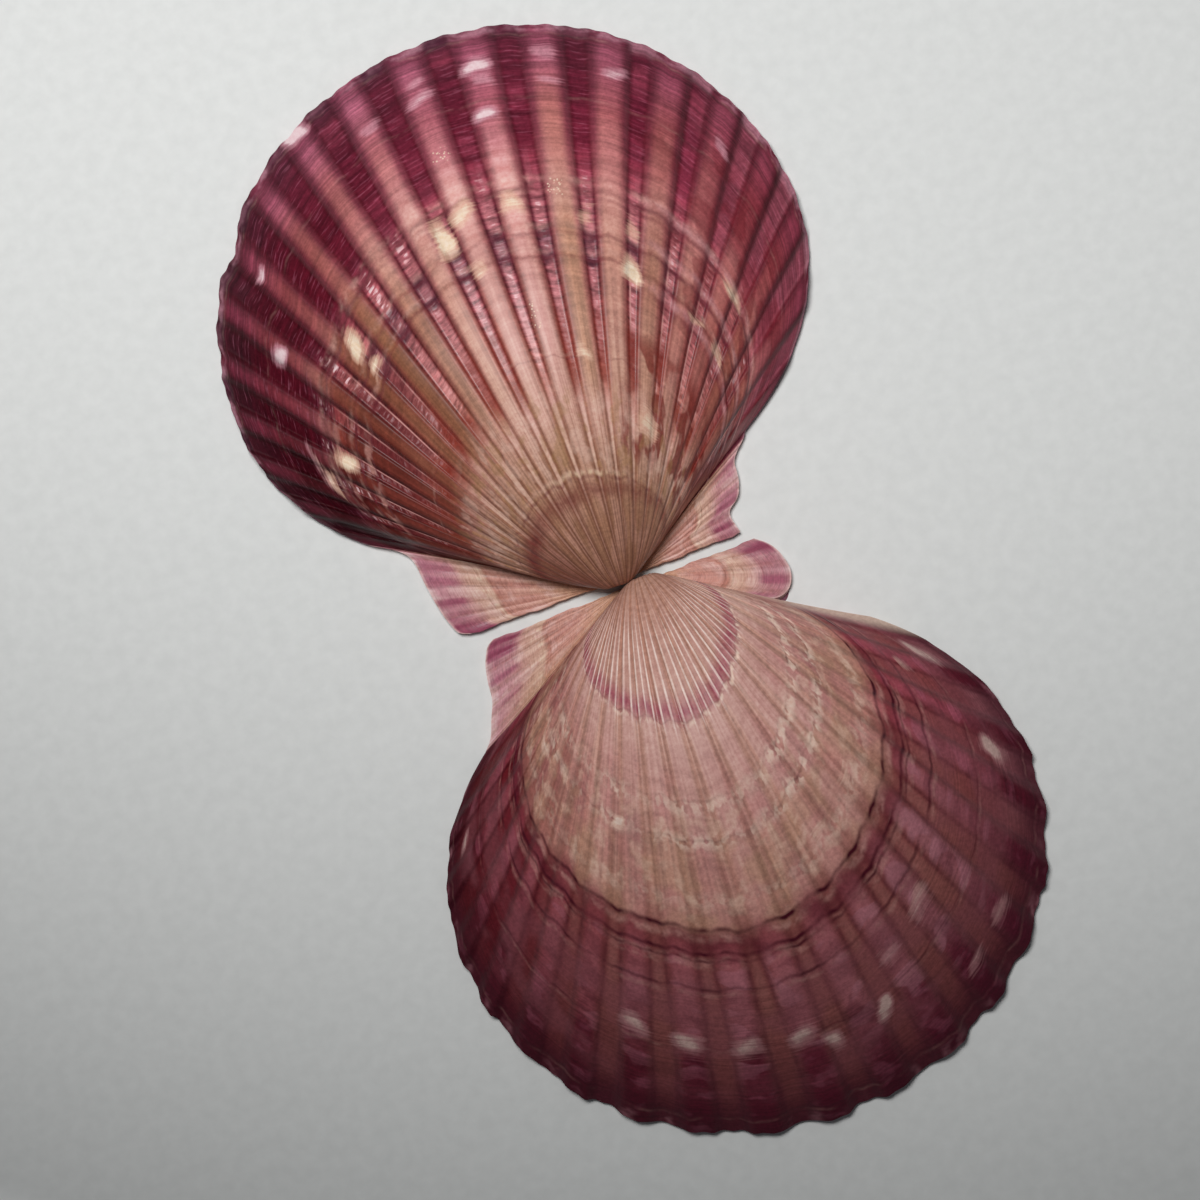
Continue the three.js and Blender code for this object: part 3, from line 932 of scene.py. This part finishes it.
def sand(f, places):
    """Layers of a few pale grains stuck to the shell. A place is its rib, its stage and its reach
    along each."""
    speck = f.place.add("ShaderNodeTexVoronoi", {"feature": "F1"}, {"Vector": f.place, "Scale": 2600.0})
    speck = speck.ease(0.36, 0.2)
    layers = []
    for ribs, stage, half_width, half_length in places:
        field = f.ribs.near(ribs, half_width) * f.stage.near(stage, half_length)
        layers.append((speck * field.ease(0.1, 0.5) * 0.7, (240, 214, 190)))
    return layers


def right_ridge(f, late):
    """The right valve's ribs: pale within the second rest, lilac and then maroon beyond it."""
    later = f.drift.ease(-1.0, -5.0) * 0.006
    crest = (f.stage + f.cloud * 0.04 + f.rib_block * 0.06 - later).ramp([
        (0.0, 190, 148, 128), (0.23, 206, 162, 150), (0.33, 206, 160, 150), (0.44, 202, 152, 144),
        (0.5, 192, 140, 134), (0.57, 194, 142, 132), (0.635, 188, 134, 126), (0.66, 144, 74, 80),
        (0.71, 160, 96, 102), (0.76, 156, 98, 104), (0.83, 148, 88, 95), (0.88, 96, 32, 48),
        (0.95, 82, 16, 36), (1.0, 74, 16, 34),
    ])
    # The rib's sides are a little darker than its crest: partly their own colour, partly painted shade
    flank = (f.stage + f.cloud * 0.05).ramp([
        (0.0, 180, 136, 116), (0.33, 196, 150, 136), (0.62, 180, 128, 118), (0.67, 130, 66, 70),
        (0.8, 138, 82, 84), (0.9, 92, 34, 46), (1.0, 76, 20, 36),
    ])
    ridge = f.edge.ease(-0.22, -0.02).over(crest, flank)
    block = f.noise(1.1, 24.0, 19.0)
    outer = f.stage.within(0.67, 0.71, 0.86, 0.93)
    ridge = (block.ease(0.53, 0.58) * outer * 0.3).over(ridge, (186, 130, 144))
    ridge = (block.ease(0.45, 0.4) * outer * 0.35).over(ridge, (104, 48, 58))
    maroon = f.noise(1.4, 16.0, 27.0, 2.0).ease(0.5, 0.64) * f.stage.ease(0.7, 0.84)
    ridge = (maroon * 0.5).over(ridge, (72, 16, 32))
    ridge = (f.drift.ease(-5.5, -8.0) * f.stage.ease(0.5, 0.4) * 0.6).over(ridge, (228, 192, 176))
    ridge = across_shell(f, ridge, (1.0 - late) * f.stage.ease(0.36, 0.46), [
        (-9, 1, 1, 1), (-6, 0.94, 0.9, 0.9), (-4, 1, 1, 1), (4, 0.97, 0.95, 0.94), (6, 0.86, 0.76, 0.74),
        (9, 0.7, 0.56, 0.56),
    ])
    ridge = across_shell(f, ridge, late, [
        (-9, 1, 0.82, 0.88), (-6.5, 0.96, 0.74, 0.82), (-4, 1, 1, 1), (1, 1, 0.94, 0.95),
        (3.5, 0.94, 0.84, 0.85), (6, 0.91, 0.75, 0.79), (9, 0.83, 0.54, 0.62),
    ])
    marks = f.noise(1.8, 34.0, 93.0, 2.0, 0.6).ease(0.52, 0.66) * f.stage.ease(0.84, 0.9)
    ridge = (marks * 0.4).over(ridge, (140, 72, 90))
    return textured(ridge, f.line, 0.09, f.stage.ease(0.68, 0.85))


def right_groove(f, late):
    """The right valve's grooves: broad, soft and olive-brown, maroon towards one side."""
    # The groove's sides are darker than its floor: partly the shell's own colour, partly painted shade under
    # the rib walls
    side = f.stage.ramp([
        (0.0, 168, 122, 100), (0.33, 188, 142, 128), (0.6, 170, 120, 108), (0.67, 122, 62, 62),
        (0.84, 128, 76, 74), (0.93, 98, 44, 52), (1.0, 86, 32, 44),
    ])
    floor = (f.stage + f.groove_block * 0.05).ramp([
        (0.0, 188, 144, 122), (0.24, 202, 156, 138), (0.45, 204, 158, 146), (0.6, 184, 134, 122),
        (0.66, 134, 74, 72), (0.73, 144, 90, 86), (0.8, 136, 82, 78), (0.88, 116, 64, 64),
        (0.96, 106, 52, 56), (1.0, 104, 46, 56),
    ])
    dip = f.edge.ease(0.0, 0.14).over(side, floor)
    dip = across_shell(f, dip, 1.0 - late, [
        (-9, 1, 1, 1), (-6, 0.96, 0.94, 0.92), (-4, 1, 1, 1), (5, 1, 0.98, 0.97), (9, 0.84, 0.76, 0.74),
    ])
    dip = across_shell(f, dip, late, [
        (-9, 1, 0.86, 0.92), (-6.5, 0.98, 0.84, 0.9), (-4, 1, 0.97, 0.97), (3.5, 0.98, 0.94, 0.95),
        (6, 0.78, 0.46, 0.58), (9, 0.72, 0.3, 0.41),
    ])
    dip = (f.drift.ease(-5.5, -8.0) * f.stage.ease(0.5, 0.4) * 0.5).over(dip, (232, 194, 176))
    dip = (f.drift.ease(-4.0, -6.5) * f.stage.ease(0.87, 0.93) * 0.4).over(dip, (156, 102, 110))
    return textured(dip, f.line, 0.08, f.stage.ease(0.68, 0.8))


def right_young(f, colour):
    """The pale part within the second rest: faint threads, olive and cream patches, bead rows, the
    rosy ring round the cap and the bright riblets on it, pale in their own colour with painted glints."""
    inner = f.stage.ease(0.66, 0.6)
    olive = f.noise(0.8, 12.0, 31.0, 2.0).ease(0.46, 0.6) * f.stage.near(0.57, 0.13).ease(0.0, 0.6)
    rosy = f.noise(1.5, 7.0, 37.0, 2.0).ease(0.48, 0.62) * inner * f.stage.ease(0.34, 0.42)
    cream = f.noise(1.6, 24.0, 43.0, 2.0, 0.6).ease(0.52, 0.66) * inner * f.stage.ease(0.38, 0.5)
    colour = painted(colour, [
        (olive * 0.4, (182, 142, 114)),
        (rosy * 0.35, (178, 112, 112)),
        (cream * 0.4, (222, 186, 166)),
    ])
    colour = textured(colour, f.thread, 0.08, inner)
    colour = textured(colour, f.band, 0.05, inner)
    ring = (f.stage + f.cloud * 0.02).near(0.302, 0.034)
    between = f.riblet.ease(0.4, 0.0) * f.stage.ease(0.33, 0.27) * f.stage.ease(0.07, 0.14)
    # The riblets' near-white is partly their own pale colour, partly painted glints whose strength gleam
    # varies along them
    gleam = f.noise(1.2, 9.0, 49.0).ease(0.3, 0.6) * 0.4 + f.mottle * 0.3 + 0.2
    layers = [
        (ring * (f.mottle * 0.3 + 0.6), (156, 66, 90)),
        (between * 0.3, (170, 112, 98)),
        (f.riblet.ease(0.3, 0.9) * gleam, (250, 226, 216)),
    ]
    rows = ((0.324, 0.008, 0.9), (0.45, 0.022, 0.8), (0.505, 0.02, 0.8), (0.6, 0.022, 0.3))
    for place, reach, strength in rows:
        beads = f.jagged.near(place, reach) * f.noise(4.5, 60.0, place * 90).ease(0.42, 0.56)
        beads = beads * (f.worn * 0.4 + 0.25 + f.drift.ease(1.0, -3.0) * 0.35)
        layers.append((beads * strength, (240, 212, 194)))
    return painted(colour, layers)


def right_outside():
    """Broad low ribs, pale within the second rest and lilac-maroon beyond it, between olive-brown
    grooves."""
    material, shader, wire = new_material("right_valve_outside")
    f = growth_fields(wire, RIGHT)
    late = (f.stage + f.drift.ease(-4.0, -7.0) * 0.02).ease(0.62, 0.68)
    colour = f.edge.ease(-0.15, 0.07).over(right_ridge(f, late), right_groove(f, late))
    # painted shade: a thin dark line along each rib's edge, where the rib wall is in shadow
    rib_edge_shade = f.edge.near(0.0, 0.07) * f.stage.ease(0.66, 0.72) * (f.mottle * 0.25 + 0.2)
    haze = f.noise(0.9, 12.0, 73.0, 2.0).ease(0.42, 0.6)
    haze = haze * f.stage.within(0.69, 0.75, 0.89, 0.96)
    dark_end = (f.stage + f.cloud * 0.05).ease(0.92, 0.985) * (f.edge.ease(-0.1, 0.1) * 0.3 + 0.4)
    colour = painted(colour, [
        (rib_edge_shade, (76, 22, 34)),
        (haze * 0.5, (130, 72, 80)),
        (dark_end, (64, 14, 30)),
    ])
    colour = right_young(f, colour)
    zone = f.jagged.near(0.668, 0.026).ease(0.0, 0.4) * (f.drift.ease(-6.0, -1.0) * 0.3 + 0.5)
    zone = zone * (f.noise(0.9, 20.0, 71.0).ease(0.62, 0.42) * 0.8 + 0.1)
    rests = (
        (0.318, 0.003, 0.3), (0.44, 0.004, 0.25), (0.502, 0.004, 0.3), (0.645, 0.007, 1.15),
        (0.684, 0.006, 1.15), (0.696, 0.005, 0.9), (0.744, 0.005, 0.7), (0.845, 0.003, 0.4),
        (0.97, 0.003, 0.3),
    )
    lip = f.stage.ease(0.975, 0.99) * f.noise(1.7, 3.0, 91.0).ease(0.5, 0.62) * f.mottle
    fold = f.from_first.ease(0.55, 0.15) * f.stage.ease(0.45, 0.6)
    colour = painted(colour, [
        (zone * 0.8, (90, 24, 40)),
        *rest_lines(f, rests, (72, 16, 30), (206, 156, 146)),
        *pale_patches(f, ((222, 186, 168), (226, 200, 186)), ((166, 118, 120), (196, 166, 158))),
        (lip * 0.35, (186, 128, 138)),
        (fold * 0.7, (230, 204, 186)),
    ])
    finish_shell(shader, f, ear_colours(f, colour))
    return material


def ear_colours(f, colour):
    """Ears: tan and pink with ridges from the beak, a cream band after the rest in growth, then
    mauve stripes, deepest in the outer corner at the hinge, and a thin pale edge."""
    ear = (f.stage + f.cloud * 0.07).ramp([
        (0.0, 170, 126, 98), (0.3, 196, 150, 124), (0.5, 202, 150, 136), (0.64, 194, 138, 126),
        (0.665, 178, 120, 106), (0.69, 214, 176, 156), (0.76, 204, 160, 144), (0.84, 198, 144, 144),
        (0.95, 200, 144, 152), (1.0, 224, 190, 188),
    ])
    patch = f.noise(0.7, 9.0, 11.0, 2.0).ease(0.5, 0.64) * f.stage.ease(0.25, 0.4)
    ear = painted(ear, [
        (patch * 0.4, (226, 190, 184)),
        (f.riblet.ease(0.4, 0.05) * (f.mottle * 0.3 + 0.15), (150, 98, 80)),
    ])
    ear = textured(ear, f.noise(3.2, 1.2, 5.0), 0.1)
    stripes = f.noise(1.1, 1.4, 15.0).ease(0.42, 0.6)
    outer = (f.stage + f.cloud * 0.1).ease(0.78, 0.86) * f.stage.ease(1.0, 0.98)
    corner = f.ear.ease(0.4, 0.9) * outer
    fold = f.ear.ease(0.5, 0.05) * f.stage.ease(1.0, 0.8)
    ear = painted(ear, [
        (stripes * outer * 0.7, (168, 92, 116)),
        (stripes * f.stage.near(0.5, 0.16) * 0.4, (176, 106, 98)),
        (corner * (stripes * 0.35 + 0.45), (140, 54, 84)),
        (fold * 0.5, (176, 134, 102)),
    ])
    ear = textured(ear, f.line, 0.1)
    return f.ear.ease(0.0, 0.03).over(colour, ear)


def finish_shell(shader, f, colour):
    """Satin gloss, glossier in the grooves, with growth lines and fine threads in the surface."""
    lines = (f.line * LINE_DEPTH + f.band * BAND_DEPTH) * (f.stage.ease(0.45, 0.8) * 0.8 + 0.2)
    height = lines + f.thread * THREAD_DEPTH + f.grain * GRAIN_DEPTH
    add_bump(height, shader)
    plug(textured(colour, f.grain, 0.07), shader, "Base Color")
    dull = f.edge.ease(0.12, -0.1) * 0.12 + f.stage.ease(0.84, 0.98) * 0.22
    plug(f.grain * 0.2 + dull + 0.22, shader, "Roughness")
    shader.inputs["Specular IOR Level"].default_value = 0.21


def valve_inside(valve):
    """Smooth cream-white inside with a purple-brown band along the margin."""
    material, shader, wire = new_material(valve.node + "_inside")
    f = growth_fields(wire, valve)
    colour = (f.stage + f.cloud * 0.08).ramp([
        (0.0, 206, 182, 164), (0.35, 236, 226, 214), (0.8, 238, 230, 222), (0.9, 186, 148, 158),
        (0.97, 128, 76, 92), (1.0, 112, 60, 76),
    ])
    grain = wire.noise(f.place, 700.0, 2.0)
    add_bump(grain * 0.00002 + f.cloud * 0.0002, shader)
    plug(colour, shader, "Base Color")
    plug(grain * 0.1 + 0.22, shader, "Roughness")
    return material


def floor_material():
    """A plain pale grey-white studio floor with a trace of tooth. Where the window's beam ends,
    outside the photograph's view, it glows a little, so that the studio is pale all round."""
    material, shader, wire = new_material("floor")
    place = wire.add("ShaderNodeTexCoord", {}, {}, output=3)
    tooth = wire.noise(place, 600.0, 2.0)
    plug(tooth.ramp([(0.3, 222, 224, 223), (0.7, 228, 230, 229)]), shader, "Base Color")
    shader.inputs["Roughness"].default_value = 0.85
    window = in_picture(WINDOW_PLACE)
    axis = (in_picture(WINDOW_TARGET) - window).normalized()
    ray = wire.add("ShaderNodeVectorMath", {"operation": "SUBTRACT"}, {0: place, 1: window})
    ray = wire.add("ShaderNodeVectorMath", {"operation": "NORMALIZE"}, {0: ray})
    in_beam = wire.add("ShaderNodeVectorMath", {"operation": "DOT_PRODUCT"}, {0: ray, 1: axis}, output=1)
    glow = in_beam.ease(*BEAM_END).ramp([(0.0, 0, 0, 0), (1.0, *GLOW)])
    plug(glow, shader, "Emission Color")
    shader.inputs["Emission Strength"].default_value = 1.0
    material.cycles.emission_sampling = "NONE"
    return material


def add_valve(valve, outside):
    piece = bpy.data.objects.new(valve.piece, valve_mesh(valve))
    bpy.context.scene.collection.objects.link(piece)
    piece.data.materials.append(outside)
    piece.data.materials.append(valve_inside(valve))
    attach(piece, "root")
    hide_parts(valve.node)
    return piece


def in_picture(place):
    """A place given to the right and up in the picture, and above the floor, in the frame's axes."""
    turned = Vector(place)
    turned.rotate(Euler((0, 0, VIEW_TURN)))
    return turned


def add_floor():
    size = FLOOR_REACH
    mesh = bpy.data.meshes.new("floor")
    corners = [(-size, -size, 0), (size, -size, 0), (size, size, 0), (-size, size, 0)]
    mesh.from_pydata(corners, [], [(0, 1, 2, 3)])
    floor = bpy.data.objects.new("floor", mesh)
    bpy.context.scene.collection.objects.link(floor)
    mesh.materials.append(floor_material())


# The photograph's view: straight down from a little off the hinge's middle, turned against the hinge
VIEW_TURN = math.radians(-19.95)
VIEW_HEIGHT = 0.405
VIEW_CENTRE = (-0.00413, -0.00106)
VIEW_WIDTH = 0.140
SENSOR_WIDTH = 36.0
FLOOR_REACH = 3.0

# The light, in metres to the right in the picture, up in the picture, and above the floor
WINDOW_PLACE = (-0.075, 0.12, 0.419)
WINDOW_TARGET = (-0.007, 0.17, 0)
WINDOW_POWER = 6.85
WINDOW_SIZE = 0.08
WINDOW_BEAM = 2 * 0.658
WINDOW_BLEND = 0.6
WINDOW_TINT = (1.0, 0.99, 0.98)
SKY_TINT = (0.9, 0.95, 1.0, 1.0)
SKY_STRENGTH = 0.07

# The floor out of the beam glows in this colour. The glow comes up between these cosines of the
# angle from the beam's axis
GLOW = (172, 174, 173)
BEAM_END = (0.846, 0.828)


def add_camera():
    camera_data = bpy.data.cameras.new("camera")
    camera = bpy.data.objects.new("camera", camera_data)
    bpy.context.scene.collection.objects.link(camera)
    camera.location = (*VIEW_CENTRE, VIEW_HEIGHT)
    camera.rotation_euler = (0, 0, VIEW_TURN)
    camera_data.sensor_width = SENSOR_WIDTH
    camera_data.lens = SENSOR_WIDTH * VIEW_HEIGHT / VIEW_WIDTH
    camera_data.clip_start = 0.01
    bpy.context.scene.camera = camera


def add_window():
    """A round soft light up and to the left in the picture, aimed past the shell's upper edge, so
    that the lower part of the picture lies towards the edge of its beam."""
    data = bpy.data.lights.new("window", "SPOT")
    data.energy = WINDOW_POWER
    data.shadow_soft_size = WINDOW_SIZE
    data.spot_size = WINDOW_BEAM
    data.spot_blend = WINDOW_BLEND
    data.color = WINDOW_TINT
    light = bpy.data.objects.new("window", data)
    bpy.context.scene.collection.objects.link(light)
    place = in_picture(WINDOW_PLACE)
    target = in_picture(WINDOW_TARGET)
    light.location = place
    light.rotation_euler = (target - place).to_track_quat("-Z", "Y").to_euler()


def add_surroundings():
    world = bpy.data.worlds.new("studio")
    world.use_nodes = True
    backdrop = world.node_tree.nodes["Background"]
    backdrop.inputs["Color"].default_value = SKY_TINT
    backdrop.inputs["Strength"].default_value = SKY_STRENGTH
    bpy.context.scene.world = world
    bpy.context.scene.view_settings.view_transform = "Standard"


add_valve(LEFT, left_outside())
add_valve(RIGHT, right_outside())
add_floor()
add_camera()
add_surroundings()
add_window()
